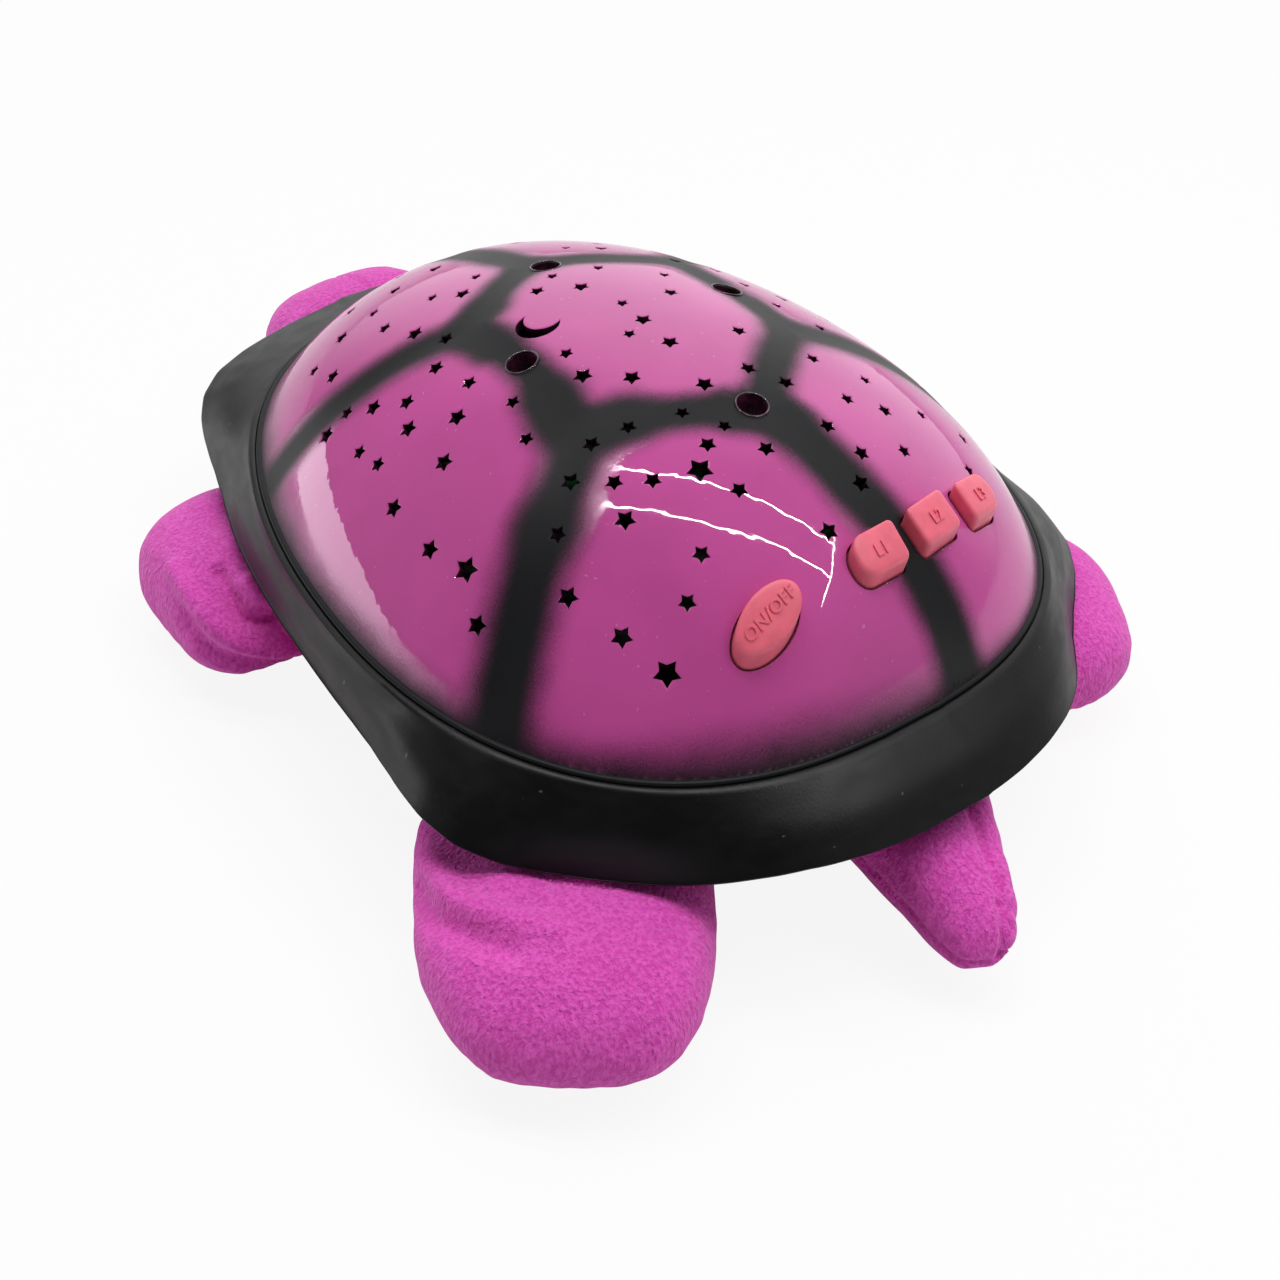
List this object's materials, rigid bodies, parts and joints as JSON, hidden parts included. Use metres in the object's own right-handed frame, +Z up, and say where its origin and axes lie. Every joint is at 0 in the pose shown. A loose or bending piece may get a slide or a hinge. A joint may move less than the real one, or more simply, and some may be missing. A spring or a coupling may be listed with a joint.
{
  "type": "star night light projector",
  "caption": "Plush turtle night light with a hard star-pierced dome, wavy rim skirt, press buttons on the dome and a battery box in the belly.",
  "frame": {"origin": "on the floor under the middle of the shell, on the belly's flat underside", "axes": "+Y towards the head, -Y towards the tail and the buttons, +Z up"},
  "size_m": [0.2114, 0.2866, 0.0996],
  "materials": {
    "shell_pink": "gloss moulded",
    "skirt_black": "satin moulded",
    "tray_black": "matte moulded",
    "lamp_white": "matte moulded",
    "belly_plush": "short pile plush",
    "limb_plush": "short pile plush",
    "eye_black": "polished",
    "screw_steel": "zinc plated",
    "button_coral": "satin moulded",
    "switch_black": "matte moulded",
    "board_green": "solder mask",
    "led_blue": "clear tinted",
    "led_green": "clear tinted",
    "led_amber": "clear tinted",
    "wire_red": "wire sheath",
    "cell_jacket": "printed jacket",
    "contact_steel": "nickel plated"
  },
  "bodies": {
    "body": {"dome_shell": "shell_pink", "rim_skirt": "skirt_black", "base_tray": "tray_black", "lamp_plate": "lamp_white", "belly_cover": "belly_plush", "flipper_front_left": "limb_plush", "flipper_front_right": "limb_plush", "flipper_rear_left": "limb_plush", "flipper_rear_right": "limb_plush", "head": "limb_plush", "tail": "limb_plush", "eyes": "eye_black", "dome_screws": "screw_steel", "tact_switches": "switch_black", "button_board": "board_green", "light_board": "board_green", "led_collar": "lamp_white", "led_blue": "led_blue", "led_green": "led_green", "led_amber": "led_amber", "timer_parts": "switch_black", "board_screws": "screw_steel", "plate_screws": "screw_steel", "wire_loom": "wire_red", "battery_1": "cell_jacket", "battery_2": "cell_jacket", "battery_3": "cell_jacket", "battery_springs": "contact_steel", "battery_contacts": "contact_steel"},
    "power_key": {"button_power": "button_coral", "plunger_power": "switch_black"},
    "light_key_1": {"button_light_1": "button_coral", "plunger_light_1": "switch_black"},
    "light_key_2": {"button_light_2": "button_coral", "plunger_light_2": "switch_black"},
    "light_key_3": {"button_light_3": "button_coral", "plunger_light_3": "switch_black"},
    "door": {"battery_door": "tray_black", "door_screw": "screw_steel"}
  },
  "joints": [
    {"name": "press_power", "type": "slide", "parent": "body", "child": "power_key", "axis": [0, 0.2079, -0.9781], "range_m": [0, 0.001], "stiffness_N_per_m": 600, "springref_m": -0.0015},
    {"name": "press_light_1", "type": "slide", "parent": "body", "child": "light_key_1", "axis": [0, 0.2079, -0.9781], "range_m": [0, 0.001], "stiffness_N_per_m": 600, "springref_m": -0.0015},
    {"name": "press_light_2", "type": "slide", "parent": "body", "child": "light_key_2", "axis": [0, 0.2079, -0.9781], "range_m": [0, 0.001], "stiffness_N_per_m": 600, "springref_m": -0.0015},
    {"name": "press_light_3", "type": "slide", "parent": "body", "child": "light_key_3", "axis": [0, 0.2079, -0.9781], "range_m": [0, 0.001], "stiffness_N_per_m": 600, "springref_m": -0.0015},
    {"name": "door_hinge", "type": "hinge", "parent": "body", "child": "door", "pos_m": [-0.02555, 0.04, 0.014], "axis": [0, 1, 0], "range_deg": [0, 70]}
  ]
}
